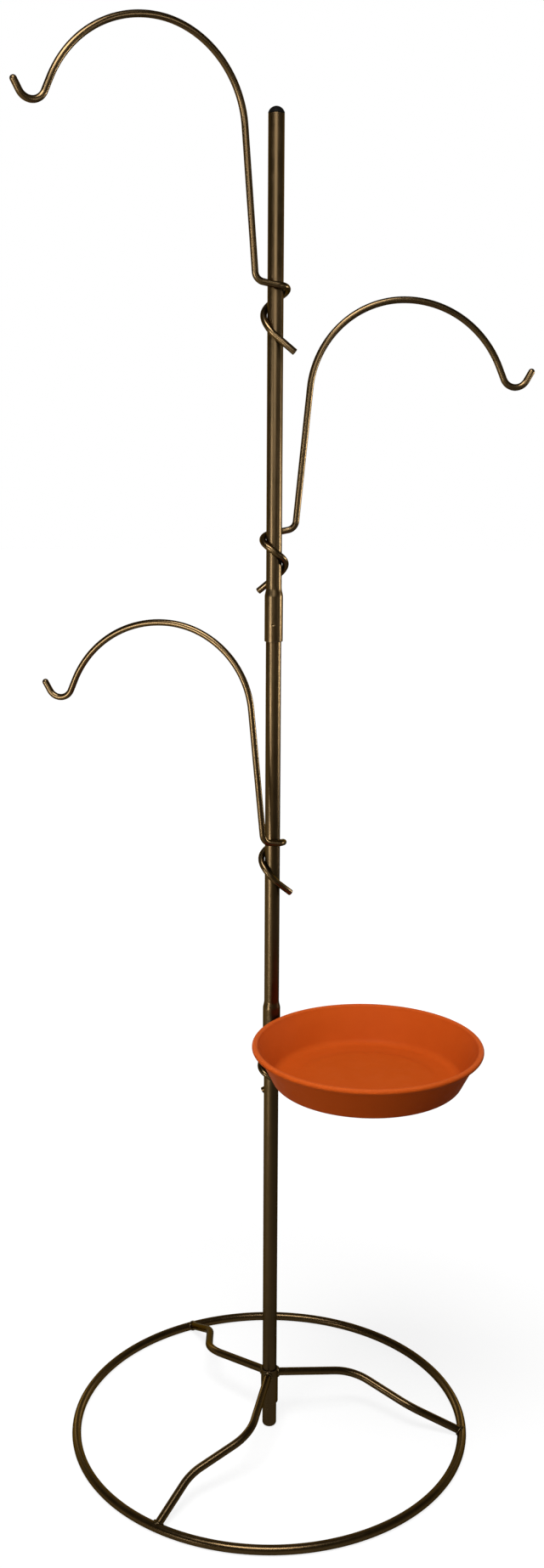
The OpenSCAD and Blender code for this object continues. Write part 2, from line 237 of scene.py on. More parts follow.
paintFinishes = {
    "rod": {
        "tone": (0.082, 0.0550, 0.0265, 1),
        "undertone": (0.100, 0.0640, 0.0300, 1),
        # at the sawn hook ends: worn paint with a painted highlight
        "worn": (0.19, 0.14, 0.09, 1),
        "driftScale": 14.0,
        "smooth": 0.22,
        "rough": 0.30,
    },
    "tube": {
        "tone": (0.070, 0.0475, 0.0235, 1),
        "undertone": (0.084, 0.0545, 0.0265, 1),
        "worn": (0.18, 0.14, 0.09, 1),
        "driftScale": 9.0,
        "smooth": 0.28,
        "rough": 0.36,
    },
    "weld": {
        "tone": (0.066, 0.046, 0.023, 1),
        "undertone": (0.042, 0.028, 0.014, 1),
        "worn": (0.16, 0.12, 0.07, 1),
        "driftScale": 160.0,
        "smooth": 0.22,
        "rough": 0.34,
    },
}

plasticSettings = {
    "drift": 0.7,
    "wear": 0.35,
    "coarse": 0.4,
    "bumpHeight": 0.0003,
}

plasticFinishes = {
    "terracotta": {
        "tone": (0.49, 0.074, 0.008, 1),
        "undertone": (0.45, 0.063, 0.006, 1),
        # the paler tone on the top of the lip: scuffed plastic with a painted sheen
        "worn": (0.56, 0.12, 0.03, 1),
        "driftScale": 7.0,
        "grainScale": 1100.0,
        "smooth": 0.44,
        "rough": 0.56,
        "bump": 0.10,
        "specular": 0.02,
    },
    "blackCap": {
        "tone": (0.003, 0.0028, 0.0026, 1),
        "undertone": (0.005, 0.0046, 0.0042, 1),
        "worn": (0.04, 0.036, 0.03, 1),
        "driftScale": 60.0,
        "grainScale": 1600.0,
        "smooth": 0.40,
        "rough": 0.50,
        "bump": 0.2,
        "specular": 0.012,
    },
}


def newMaterial(name):
    material = bpy.data.materials.new(name)
    material.use_nodes = True
    tree = material.node_tree
    return material, tree, tree.nodes["Principled BSDF"]


# tones, wear and grain, which paint and plastic have in common
def newFinish(name, finish):
    material, tree, shader = newMaterial(name)
    drift = placeGroup(tree, toneDrift, {"Tone": finish["tone"], "Undertone": finish["undertone"],
                                         "Scale": finish["driftScale"], "Amount": finish["drift"]})
    wear = placeGroup(tree, wearAndPaintedSheen, {"Color": drift["Color"], "Worn": finish["worn"],
                                       "Amount": finish["wear"]})
    grain = placeGroup(tree, surfaceGrain, {"Scale": finish["grainScale"],
                                            "Coarse": finish["coarse"],
                                            "Smooth": finish["smooth"], "Rough": finish["rough"]})
    bump = addNode(tree, "ShaderNodeBump", {"Height": grain["Height"], "Strength": finish["bump"],
                                            "Distance": finish["bumpHeight"]})
    feed(tree, shader, {"Base Color": wear["Color"], "Roughness": grain["Roughness"],
                        "Normal": bump["Normal"]})
    return material, shader


def bronzePaint(name, finish):
    material, shader = newFinish(name, {**paintSettings, **finish})
    shader.inputs["Metallic"].default_value = 1.0
    shader.inputs["Specular Tint"].default_value = paintSettings["grazingTint"]
    return material


def mouldedPlastic(name, finish):
    material, shader = newFinish(name, {**plasticSettings, **finish})
    shader.inputs["Specular IOR Level"].default_value = finish["specular"]
    return material


rodPaint = bronzePaint("bronzeRodPaint", paintFinishes["rod"])
tubePaint = bronzePaint("bronzeTubePaint", paintFinishes["tube"])
weldPaint = bronzePaint("paintedWeld", paintFinishes["weld"])
saucerPlastic = mouldedPlastic("terracottaPlastic", plasticFinishes["terracotta"])
capPlastic = mouldedPlastic("blackCapPlastic", plasticFinishes["blackCap"])
print("finishes made:", len(bpy.data.materials))


# directions, arcs and rounded corners

def polar(radius, degrees, height=0.0):
    angle = math.radians(degrees)
    return Vector((radius * math.cos(angle), radius * math.sin(angle), height))


def spinBy(degrees):
    return Matrix.Rotation(math.radians(degrees), 3, "Z")


# even angles round a full turn, in radians
def turnAngles(count):
    return [2 * math.pi * i / count for i in range(count)]


# the direction at an angle between two square ones
def between(angle, side, across):
    return math.cos(angle) * side + math.sin(angle) * across


# a direction made square to another
def squareTo(direction, along):
    return (direction - direction.dot(along) * along).normalized()


# goes from 0 to 1, and starts and ends gently
def ease(share):
    return share * share * (3 - 2 * share)


# a flat arc, from just after its start to its end, in degrees
def arcPoints(centre, radius, start, end, steps):
    return [Vector(centre) + polar(radius, start + (end - start) * i / steps).to_2d()
            for i in range(1, steps + 1)]


# the round at a corner, from one straight stretch to the other
def cornerPoints(before, corner, after, radius, steps):
    back = (before - corner).normalized()
    ahead = (after - corner).normalized()
    half = back.angle(ahead) / 2
    centre = corner + (back + ahead).normalized() * radius / math.sin(half)
    run = radius / math.tan(half)
    first = corner + run * back - centre
    last = corner + run * ahead - centre
    bend = first.angle(last)
    points = []
    for i in range(steps + 1):
        share = i / steps
        out = first * math.sin((1 - share) * bend) + last * math.sin(share * bend)
        points.append(centre + out / math.sin(bend))
    return points


# points of an outline as (radius, height)
def pairs(points):
    return [(point.x, point.y) for point in points]


# a small round on a corner of an outline
def brokenCorner(before, corner, after, size, steps=4):
    before, corner, after = [Vector((*point, 0)) for point in (before, corner, after)]
    return pairs(cornerPoints(before, corner, after, size, steps))


# the direction of a path at each of its points
def headings(points):
    last = len(points) - 1
    return [(points[min(i + 1, last)] - points[max(i - 1, 0)]).normalized()
            for i in range(last + 1)]


# the bottom and the top of a solid
def endsOf(node):
    low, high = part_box(node)
    return low.z / mm, high.z / mm


# meshes

# wear is one value for the piece, or a list with one for each point; it marks worn paint, and in
# places also a painted highlight and a painted sheen
def finishPiece(name, mesh, wear, material, body, nodes, sharpAngle=35):
    data = bpy.data.meshes.new(name)
    bmesh.ops.recalc_face_normals(mesh, faces=mesh.faces)
    for vertex in mesh.verts:
        vertex.co *= mm
    mesh.to_mesh(data)
    mesh.free()
    data.shade_smooth()
    data.set_sharp_from_angle(angle=math.radians(sharpAngle))
    wears = wear if isinstance(wear, list) else [wear] * len(data.vertices)
    attribute = data.attributes.new("wear", "FLOAT", "POINT")
    attribute.data.foreach_set("value", wears)
    data.materials.append(material)
    piece = bpy.data.objects.new(name, data)
    bpy.context.scene.collection.objects.link(piece)
    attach(piece, body)
    if nodes:
        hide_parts(*nodes)


# joins each ring of points to the next; a ring may be a single point
def joinRings(mesh, rings, closed=False):
    couples = list(zip(rings, rings[1:]))
    if closed:
        couples.append((rings[-1], rings[0]))
    for low, high in couples:
        count = max(len(low), len(high))
        for i in range(count):
            j = (i + 1) % count
            corners = [low[i % len(low)], low[j % len(low)],
                       high[j % len(high)], high[i % len(high)]]
            mesh.faces.new(list(dict.fromkeys(corners)))


def capRing(mesh, ring, centre):
    joinRings(mesh, [ring, [mesh.verts.new(centre)]])


# a swept rod; cope moves the points of its first ring onto what it is welded to
def sweepRod(points, radii, sides, cope=None):
    mesh = bmesh.new()
    rings = []
    side = upward
    directions = headings(points)
    for point, radius, along in zip(points, radii, directions):
        side = squareTo(side, along)
        across = along.cross(side)
        ring = [point + radius * between(angle, side, across) for angle in turnAngles(sides)]
        if cope and not rings:
            ring = [cope(place, along) for place in ring]
        rings.append([mesh.verts.new(place) for place in ring])
    joinRings(mesh, rings)
    capRing(mesh, rings[0], cope(points[0], directions[0]) if cope else points[0])
    capRing(mesh, rings[-1], points[-1])
    return mesh


# the radii along a rod, from those at its two ends
def rodRadii(count, rod, first, last):
    return [*first, *[rod] * (count - len(first) - len(last)), *last]


# a sawn end with its edge just broken, as places and radii from the end inward
def sawnEnd(end, inward, radius, chamfer, inShare=0.35, offShare=0.3):
    places = [end, end + inward * chamfer * inShare, end + inward * chamfer]
    return places, [radius - chamfer, radius - chamfer * offShare, radius]


# a rounded end, in the same way
def roundEnd(end, inward, radius, steps=7):
    places = []
    radii = []
    for i in range(1, steps + 1):
        angle = math.pi / 2 * i / steps
        places.append(end + inward * radius * (1 - math.cos(angle)))
        radii.append(radius * math.sin(angle))
    return places, radii


# a turned piece: the outline is a list of (radius, height), closed where the piece is hollow
def turnPiece(outline, segments, centre=origin, hollow=False, press=None):
    mesh = bmesh.new()
    rings = []
    for radius, height in outline:
        ring = []
        for i in range(segments if radius else 1):
            angle = 360 * i / segments
            inset = press(angle, height) if press else 0
            ring.append(mesh.verts.new(centre + polar(radius - inset, angle, height)))
        rings.append(ring)
    joinRings(mesh, rings, closed=hollow)
    return mesh


# weld beads, each laid round the end of a rod

weldSettings = {
    "evenShare": 0.92,  # of a bead's radius, before wander and ripples
    "wanderShare": 0.16,
    "rippleShare": 0.10,
    "wanderSize": 1.3,
    "seedRise": 0.7,
    "wear": 0.6,
    "sharpAngle": 60,
}


def beadRadii(bead, weld, seed):
    radii = []
    for angle in turnAngles(bead["steps"]):
        place = weld["wanderSize"] * between(angle, Vector((1, 0, 0)), Vector((0, 1, 0)))
        wander = noise.noise(place + Vector((seed, 0, seed * weld["seedRise"])))
        ripple = abs(math.sin(bead["ripples"] * angle / 2))
        radii.append(bead["radius"] * (weld["evenShare"] + weld["wanderShare"] * wander
                                       + weld["rippleShare"] * ripple))
    return radii


# slide lays the points of the bead on the surface that the rod is welded to
def layBead(mesh, bead, at, along, away, seed, slide=None):
    side = squareTo(upward, along)
    across = along.cross(side)
    loop = [at + away * between(angle, side, across) for angle in turnAngles(bead["steps"])]
    if slide:
        loop = [slide(point, along) for point in loop]
    rings = []
    for i, (point, radius) in enumerate(zip(loop, beadRadii(bead, weldSettings, seed))):
        tangent = (loop[(i + 1) % len(loop)] - loop[i - 1]).normalized()
        side = squareTo(along, tangent)
        across = tangent.cross(side)
        rings.append([mesh.verts.new(point + radius * between(angle, side, across))
                      for angle in turnAngles(bead["sides"])])
    joinRings(mesh, rings, closed=True)


def finishWeld(name, mesh, body, nodes):
    finishPiece(name, mesh, weldSettings["wear"], weldPaint, body, nodes,
                weldSettings["sharpAngle"])


# base ring, legs, sleeve and their welds

baseSettings = {
    "ringDiameter": 523.0,
    "ringRod": 12.0,
    "ringSegments": 240,
    "seamTurn": 50.0,  # where the ring's two ends are welded together
    "seamSwell": 0.35,  # how far the weld stands up there, and how far it reaches
    "seamWidth": 2.2,
    "sides": 28,
    "legRod": 10.5,
    "sleeveRadius": 11.5,
    "sleeveBore": 9.6,
    "sleeveEdge": 0.5,
    "sleeveSegments": 72,
    "wornRows": (1, 2, 3, 6, 7, 8),  # of the sleeve's outline, at its two outer edges
    "legDrop": 8.0,
    "legDepth": 0.9,  # from the bore to the end of a leg
    "legTurns": {"Right": 0.0, "Back": 121.9, "Front": 243.2},
    "kneeReach": 118.0,
    "kneeSwing": 14.7,
    "kneeHeight": 63.0,
    "kneeRadius": 62.0,
    "kneeSteps": 16,
    "ankleReach": 190.5,
    "ankleSwing": -4.7,
    "ankleHeight": 38.0,
    "ankleRadius": 75.0,
    "ankleSteps": 14,
    "toeSwing": -5.3,
    "toeRise": 1.5,
    "toeDepth": 3.0,
    "bead": {"radius": 1.9, "ripples": 17, "steps": 102, "sides": 12},
    "beadAway": 0.2,  # from the skin of a leg
    "beadProud": 0.3,  # of the skin of the sleeve
    "hubSeed": 1.5,
    "ringSeed": 7.5,
    "search": (9.0, 0.06, 240),  # for the ring: start behind the toe, step, number of steps
}


def makeBaseRing(sizes):
    mesh = bmesh.new()
    radius = sizes["ringDiameter"] / 2
    rod = sizes["ringRod"] / 2
    rings = []
    for i in range(sizes["ringSegments"]):
        turned = 360 * i / sizes["ringSegments"]
        away = math.radians(abs((turned - sizes["seamTurn"] + 180) % 360 - 180)) * radius
        swell = sizes["seamSwell"] * math.exp(-(away / sizes["seamWidth"]) ** 2)
        centre = polar(radius, turned, rod)
        out = polar(1, turned)
        rings.append([mesh.verts.new(centre + (rod + swell * max(0, math.sin(angle)))
                                     * between(angle, out, upward))
                      for angle in turnAngles(sizes["sides"])])
    joinRings(mesh, rings, closed=True)
    finishPiece("baseRing", mesh, 0.0, rodPaint, "base", ["base_ring"])


# slides a point along a leg until it is on a cylinder round the pole's axis
def reachSleeve(place, along, radius):
    a = along.x ** 2 + along.y ** 2
    b = place.x * along.x + place.y * along.y
    c = place.x ** 2 + place.y ** 2 - radius ** 2
    return place + along * (-b + math.sqrt(max(b * b - a * c, 0))) / a


# slides a point along a leg until it meets the skin of the base ring
def reachRing(place, along, sizes):
    back, step, steps = sizes["search"]
    rod = sizes["ringRod"] / 2
    nearest = None
    for i in range(steps):
        point = place + along * (i * step - back)
        flat = math.hypot(point.x, point.y) - sizes["ringDiameter"] / 2
        gap = math.hypot(flat, point.z - rod) - rod
        if nearest is None or gap < nearest[0]:
            nearest = (gap, point)
        if gap <= 0:
            break
    return nearest[1]


# the corners of a leg: hip, knee, ankle and toe
def legCorners(sizes):
    swing = sizes["kneeSwing"]
    rod = sizes["ringRod"] / 2
    top = endsOf("hub_sleeve")[1]
    return (polar(sizes["sleeveBore"] + sizes["legDepth"], swing, top - sizes["legDrop"]),
            polar(sizes["kneeReach"], swing, sizes["kneeHeight"]),
            polar(sizes["ankleReach"], sizes["ankleSwing"], sizes["ankleHeight"]),
            polar(sizes["ringDiameter"] / 2 - rod + sizes["toeDepth"], sizes["toeSwing"],
                  rod + sizes["toeRise"]))


def makeLegs(sizes):
    hip, knee, ankle, toe = legCorners(sizes)
    path = [hip, *cornerPoints(hip, knee, ankle, sizes["kneeRadius"], sizes["kneeSteps"]),
            *cornerPoints(knee, ankle, toe, sizes["ankleRadius"], sizes["ankleSteps"]), toe]
    radii = [sizes["legRod"] / 2] * len(path)
    wallMiddle = (sizes["sleeveRadius"] + sizes["sleeveBore"]) / 2
    for side, turned in sizes["legTurns"].items():
        spin = spinBy(turned)
        mesh = sweepRod([spin @ point for point in path], radii, sizes["sides"],
                        lambda place, along: reachSleeve(place, along, wallMiddle))
        finishPiece("leg" + side, mesh, 0.0, rodPaint, "base",
                    ["leg_" + side.lower()])


def makeWelds(sizes):
    hip, knee, ankle, toe = legCorners(sizes)
    bead = sizes["bead"]
    away = sizes["legRod"] / 2 + sizes["beadAway"]
    skin = sizes["sleeveRadius"] + sizes["beadProud"]
    hubMesh = bmesh.new()
    ringMesh = bmesh.new()
    for index, turned in enumerate(sizes["legTurns"].values()):
        spin = spinBy(turned)
        layBead(hubMesh, bead, spin @ hip, spin @ (knee - hip).normalized(), away,
                index + sizes["hubSeed"], lambda place, along: reachSleeve(place, along, skin))
        layBead(ringMesh, bead, spin @ toe, spin @ (toe - ankle).normalized(), away,
                index + sizes["ringSeed"], lambda place, along: reachRing(place, along, sizes))
    finishWeld("hubWelds", hubMesh, "base", ["hub_welds"])
    finishWeld("ringWelds", ringMesh, "base", ["ring_welds"])


def makeSleeve(sizes):
    bottom, top = endsOf("hub_sleeve")
    bore, skin, edge = sizes["sleeveBore"], sizes["sleeveRadius"], sizes["sleeveEdge"]
    corners = [(skin, bottom), (skin, top), (bore, top), (bore, bottom)]
    outline = []
    for i, size in enumerate((edge, edge, edge / 2, edge / 2)):
        outline += brokenCorner(corners[i - 1], corners[i], corners[(i + 1) % 4], size)
    segments = sizes["sleeveSegments"]
    wear = [1.0 if row in sizes["wornRows"] else 0.0
            for row in range(len(outline)) for i in range(segments)]
    finishPiece("hubSleeve", turnPiece(outline, segments, hollow=True), wear, tubePaint, "base",
                ["hub_sleeve"])


makeBaseRing(baseSettings)
makeLegs(baseSettings)
makeWelds(baseSettings)
makeSleeve(baseSettings)
print("base made")


# pole: three tubes, a foot plug and a cap

poleSettings = {
    "tubeRadius": 9.5,
    "boreRadius": 7.9,
    "socketRadius": 9.6,
    "bellRadius": 11.2,
    "bellDepth": 58.0,
    "bellCone": 11.0,
    "coneSteps": 14,
    "edge": 0.45,
    "segments": 128,
    "footHeight": 5.0,
    "footEdge": 4.5,
    "footSteps": 14,
    "footBreak": 0.15,
    "footWear": (0.8, 1.5),  # how much, and up to what height
    "plugLength": 18.0,
    "plugRadius": 7.85,
    "plugEdge": 1.0,
    "plugSegments": 72,
    "capRadius": 9.6,
    "capHeight": 8.0,
    "capRim": 0.8,
    "capBreak": 0.3,
    "capSteps": 18,
    "punchTurn": -93.0,
    "punchHeight": 21.0,  # above the mouth of a bell
    "stopTurn": -113.0,
    "stopHeight": 29.0,  # above the floor, just under the sleeve
    "punchWidth": 2.4,
    "punchTall": 1.3,
    "punchDepth": 0.7,
    "punchPower": 1.5,
    "punchRows": (2.4, 0.3),  # how far the close rows reach up and down, and their step
    "mouthRow": 1.3,  # a row of points just above the wear of the mouth
    "mouthWear": 1.2,  # how far up that wear fades out
}


# an oval dent made with a punch
def punchMark(sizes, radius, turned, level):
    def press(angle, height):
        across = math.radians((angle - turned + 180) % 360 - 180) * radius
        far = (across / sizes["punchWidth"]) ** 2 + ((height - level) / sizes["punchTall"]) ** 2
        return sizes["punchDepth"] * max(0.0, 1 - far) ** sizes["punchPower"]
    return press


# heights close together near a punch mark, as far as they lie between two ends
def closeRows(sizes, low, high, level):
    reach, step = sizes["punchRows"]
    rows = []
    height = level - reach
    while height <= level + reach:
        if low < height < high:
            rows.append(height)
        height += step
    return rows


def makeLowerTube(sizes):
    bottom, top = endsOf("pole_lower")
    skin, bore, edge = sizes["tubeRadius"], sizes["boreRadius"], sizes["edge"]
    rows = closeRows(sizes, bottom, top - edge, sizes["stopHeight"])
    outline = [(bore, bottom), (skin, bottom), *[(skin, height) for height in rows],
               *brokenCorner((skin, bottom), (skin, top), (bore, top), edge), (bore, top)]
    mark = punchMark(sizes, skin, sizes["stopTurn"], sizes["stopHeight"])
    mesh = turnPiece(outline, sizes["segments"], hollow=True, press=mark)
    finishPiece("lowerTube", mesh, 0.0, tubePaint, "lower_pole", ["pole_lower"])


def makeBelledTube(sizes, name, body, node):
    bottom, top = endsOf(node)
    skin, bore, edge = sizes["tubeRadius"], sizes["boreRadius"], sizes["edge"]
    bell, socket = sizes["bellRadius"], sizes["socketRadius"]
    depth, cone = sizes["bellDepth"], sizes["bellCone"]
    shoulder = bottom + depth - cone / 3
    level = bottom + sizes["punchHeight"]
    rows = closeRows(sizes, bottom + edge, shoulder, level)
    swage = []
    for i in range(sizes["coneSteps"] + 1):
        share = i / sizes["coneSteps"]
        swage.append((bell + (skin - bell) * ease(share), shoulder + cone * share))
    outline = [(socket, bottom + edge / 2), (socket + edge / 2, bottom),
               *brokenCorner((socket, bottom), (bell, bottom), (bell, shoulder), edge),
               (bell, bottom + sizes["mouthRow"]), *[(bell, height) for height in rows], *swage,
               *brokenCorner((skin, shoulder + cone), (skin, top), (bore, top), edge), (bore, top),
               (bore, bottom + depth + cone * 2 / 3), (socket, bottom + depth)]
    mark = punchMark(sizes, bell, sizes["punchTurn"], level)
    mesh = turnPiece(outline, sizes["segments"], hollow=True, press=mark)
    wear = []
    for vertex in mesh.verts:
        fade = 1 - (vertex.co.z - bottom) / sizes["mouthWear"]
        outside = vertex.co.xy.length > socket + edge / 4
        wear.append(max(0.0, fade) if outside else 0.0)
    finishPiece(name, mesh, wear, tubePaint, body, [node])


def makeFootPlug(sizes):
    skin, edge, small = sizes["tubeRadius"], sizes["footEdge"], sizes["footBreak"]
    plug, plugEdge = sizes["plugRadius"], sizes["plugEdge"]
    height, top = sizes["footHeight"], sizes["footHeight"] + sizes["plugLength"]
    corner = arcPoints((skin - edge, edge), edge, -90, 0, sizes["footSteps"])
    outline = [(0, 0), (skin - edge, 0), *pairs(corner), (skin, height - small),
               (skin - small, height), (plug, height), (plug, top - plugEdge),
               (plug - plugEdge, top), (0, top)]
    mesh = turnPiece(outline, sizes["plugSegments"])
    amount, worn = sizes["footWear"]
    wear = [amount if vertex.co.z < worn else 0.0 for vertex in mesh.verts]
    finishPiece("footPlug", mesh, wear, tubePaint, "lower_pole", ["foot_plug"])


def makeTopCap(sizes):
    top = endsOf("top_cap")[1]
    rim, rimHeight, small = sizes["capRadius"], sizes["capRim"], sizes["capBreak"]
    plug, plugEdge, length = sizes["plugRadius"], sizes["plugEdge"], sizes["plugLength"]
    height = sizes["capHeight"]
    dome = height - rimHeight
    sphere = (rim * rim + dome * dome) / (2 * dome)
    half = math.degrees(math.asin(rim / sphere))
    crown = arcPoints((0, height - sphere), sphere, 90 - half, 90, sizes["capSteps"])
    outline = [(0, -length), (plug - plugEdge, -length), (plug, plugEdge - length), (plug, 0),
               (rim - small, 0), (rim, small), (rim, rimHeight - small), *pairs(crown[:-1]),
               (0, height)]
    mesh = turnPiece(outline, sizes["plugSegments"], Vector((0, 0, top - height)))
    finishPiece("topCap", mesh, 0.0, capPlastic, "upper_pole", ["top_cap"])


makeLowerTube(poleSettings)
makeBelledTube(poleSettings, "middleTube", "middle_pole", "pole_middle")
makeBelledTube(poleSettings, "upperTube", "upper_pole", "pole_upper")
makeFootPlug(poleSettings)
makeTopCap(poleSettings)
print("pole made")


# hooks: a winding round the pole, a foot, and an arm in one upright plane

windingSettings = {
    "radius": 13.85,  # to the middle of the rod
    "easePower": 12,  # how late the winding eases into its tail
    "steps": 120,
    "sides": 28,
    "rod": 4.0,
    "chamfer": 0.5,
}

hookSettings = {
    "places": {  # degrees and sizes of each hook; power shapes how its winding drops
        "top": {"turn": 207.0, "foot": 10.0, "lean": 4.8, "drop": 55.0, "power": 1.85,
                "tail": 25.0},
        "middle": {"turn": 8.0, "foot": 20.0, "lean": 5.7, "drop": 52.0, "power": 1.45,
                   "tail": 24.0},
        "lower": {"turn": 164.0, "foot": 83.0, "lean": 5.6, "drop": 50.0, "power": 1.95,
                  "tail": 19.5},
    },
    "windingAngle": 345.0,
    "tailFall": 0.82,  # for each millimetre outward
    "runRise": 5.0,  # from the level start of the winding to the foot
    "stemOffset": 28.8,  # from the pole's axis to the foot
    "footDrop": 10.5,  # from the stem down to its foot
    "footRadius": 12.0,
    "footSteps": 14,
    "stemLength": 156.0,
    "arch": (114.0, -82.0, 40),  # radius, angle and steps; a positive angle bends to the left
    "fall": (127.5, -69.0, 36),
    "fallRun": 14.5,
    "throat": (15.9, 127.0, 30),
    "tip": 16.0,
    "sawnWearAndHighlight": 1.4,  # how far from the sawn end the worn paint and painted highlight fade out
    "sawnWearAndHighlightReach": 8.0,  # no point farther away gets the worn paint and painted highlight, so that the other turns stay clean
}


# from the sawn tail upward to the level start of the winding, with the radii of the tail's end
def windingPath(sizes, winding, start):
    radius, steps, angle = winding["radius"], winding["steps"], sizes["windingAngle"]
    drop, power, fall = sizes["drop"], sizes["power"], sizes["tailFall"]
    slack = drop * power - fall * radius * math.radians(angle)
    leaves = math.radians(start + angle)
    out = Vector((-math.sin(leaves), math.cos(leaves), -fall))
    turns = []
    for i in range(steps, -1, -1):
        share = i / steps
        down = drop * share ** power + slack * share ** winding["easePower"] * (1 - share)
        turns.append(polar(radius, start + angle * share, -down - sizes["runRise"]))
    middle = turns[0] + sizes["tail"] / 2 * out
    end = turns[0] + sizes["tail"] * out
    places, radii = sawnEnd(end, -out.normalized(), winding["rod"], winding["chamfer"])
    return [*places, middle, *turns], radii


# bends on from a point, to the left where the angle is positive, and gives the new heading too
def bendOn(at, heading, radius, angle, steps):
    side = math.copysign(90, angle)
    centre = at + polar(radius, heading + side).to_2d()
    start = heading - side
    return arcPoints(centre, radius, start, start + angle, steps), heading + angle


# the arm above its foot, outward and upward in its plane
def armPlane(sizes):
    heading = 90 - sizes["lean"]
    stemTop = polar(sizes["stemLength"] + sizes["footDrop"], heading).to_2d()
    arch, heading = bendOn(stemTop, heading, *sizes["arch"])
    fall, heading = bendOn(arch[-1], heading, *sizes["fall"])
    throatStart = fall[-1] + polar(sizes["fallRun"], heading).to_2d()
    throat, heading = bendOn(throatStart, heading, *sizes["throat"])
    tip = throat[-1] + polar(sizes["tip"], heading).to_2d()
    return [stemTop, *arch, *fall, throatStart, *throat], tip, polar(1, heading)


def makeHook(hooks, winding, which):
    sizes = {**hooks, **hooks["places"][which]}
    rod = winding["rod"]
    start = sizes["foot"] + math.degrees(math.acos(winding["radius"] / sizes["stemOffset"]))
    coil, tailRadii = windingPath(sizes, winding, start)
    base = polar(sizes["stemOffset"], sizes["foot"])
    plane, tip, heading = armPlane(sizes)
    arm = [base + Vector((point.x, 0, point.y)) for point in plane]
    foot = cornerPoints(coil[-1], base, arm[0], sizes["footRadius"], sizes["footSteps"])
    tipPlaces, tipRadii = roundEnd(base + Vector((tip.x, 0, tip.y)),
                                   -Vector((heading.x, 0, heading.y)), rod)
    points = [*coil, *foot, *arm, *reversed(tipPlaces)]
    spin = spinBy(sizes["turn"])
    joint = jointAt[which + "_hook_swivel"]
    points = [spin @ point + joint for point in points]
    mesh = sweepRod(points, rodRadii(len(points), rod, tailRadii, tipRadii[::-1]),
                    winding["sides"])
    # the sawn end is paler: worn paint, and a painted highlight where the cut end catches the
    # light
    sawn = points[0]
    inward = (points[2] - sawn).normalized()
    wear = []
    for vertex in mesh.verts:
        away = vertex.co - sawn
        fade = max(0.0, 1 - away.dot(inward) / sizes["sawnWearAndHighlight"])
        wear.append(fade if away.length < sizes["sawnWearAndHighlightReach"] else 0.0)
    finishPiece(which + "HookRod", mesh, wear, rodPaint, which + "_hook",
                ["hook_" + which])


for which in hookSettings["places"]:
    makeHook(hookSettings, windingSettings, which)
print("hooks made")


# saucer holder: winding, arm and support ring bent from one rod, closed by a tack weld

holderSettings = {
    "reach": 156.5,  # from the pole's axis to the middle of the ring
    "turn": -41.0,
    "windingAngle": 405.0,
    "drop": 48.0,
    "power": 1.15,
    "tail": 12.0,
    "tailFall": 0.55,
    "runRise": 6.0,
    "ringRadius": 78.0,
    "ringSteps": 160,
    "bend": 12.0,  # radius where the arm goes over into the ring
    "bendSteps": 14,
    "closing": 1.0,  # the gap between the ring's sawn end and the arm
    "tack": {"radius": 1.3, "ripples": 11, "steps": 60, "sides": 10},
    "tackDepth": 0.4,  # under the skin of the rod
    "tackAhead": 0.6,  # of the sawn end, as a share of the gap to the arm
    "tackSeed": 3.3,
}


def makeHolder(sizes, winding):
    start = math.degrees(math.acos(winding["radius"] / sizes["reach"]))
    coil, tailRadii = windingPath(sizes, winding, start)
    centre = Vector((sizes["reach"], 0, 0))
    heading = (centre - polar(winding["radius"], start)).normalized()
    side = Vector((-heading.y, heading.x, 0))
    ring, bend, rod = sizes["ringRadius"], sizes["bend"], winding["rod"]
    touch = math.asin(bend / (ring + bend))
    bendAt = centre - math.sqrt((ring + bend) ** 2 - bend ** 2) * heading + bend * side
    bendPoints = []
    for i in range(sizes["bendSteps"] + 1):
        angle = (math.pi / 2 - touch) * i / sizes["bendSteps"]
        bendPoints.append(bendAt + bend * between(angle, -side, heading))
    closing = math.asin((rod + sizes["closing"]) / ring)
    first, last = math.pi - touch, closing - math.pi
    ringPoints = []
    for i in range(1, sizes["ringSteps"] + 1):
        angle = first + (last - first) * i / sizes["ringSteps"]
        ringPoints.append(centre + ring * between(angle, heading, side))
    end = ringPoints.pop()
    endHeading = (end - ringPoints[-1]).normalized()
    endPlaces, endRadii = sawnEnd(end, -endHeading, rod, winding["chamfer"])
    points = [*coil, *bendPoints, *ringPoints, *reversed(endPlaces)]
    spin = spinBy(sizes["turn"])
    joint = jointAt["holder_swivel"]
    points = [spin @ point + joint for point in points]
    mesh = sweepRod(points, rodRadii(len(points), rod, tailRadii, endRadii[::-1]),
                    winding["sides"])
    finishPiece("holderRod", mesh, 0.0, rodPaint, "holder", ["saucer_holder"])
    tackMesh = bmesh.new()
    tackAt = spin @ (end + endHeading * sizes["closing"] * sizes["tackAhead"]) + joint
    layBead(tackMesh, sizes["tack"], tackAt, spin @ endHeading, rod - sizes["tackDepth"],
            sizes["tackSeed"])
    finishWeld("holderTack", tackMesh, "holder", [])


makeHolder(holderSettings, windingSettings)
print("holder made")


# saucer: one moulded shell with a rolled lip, a cove and a raised floor

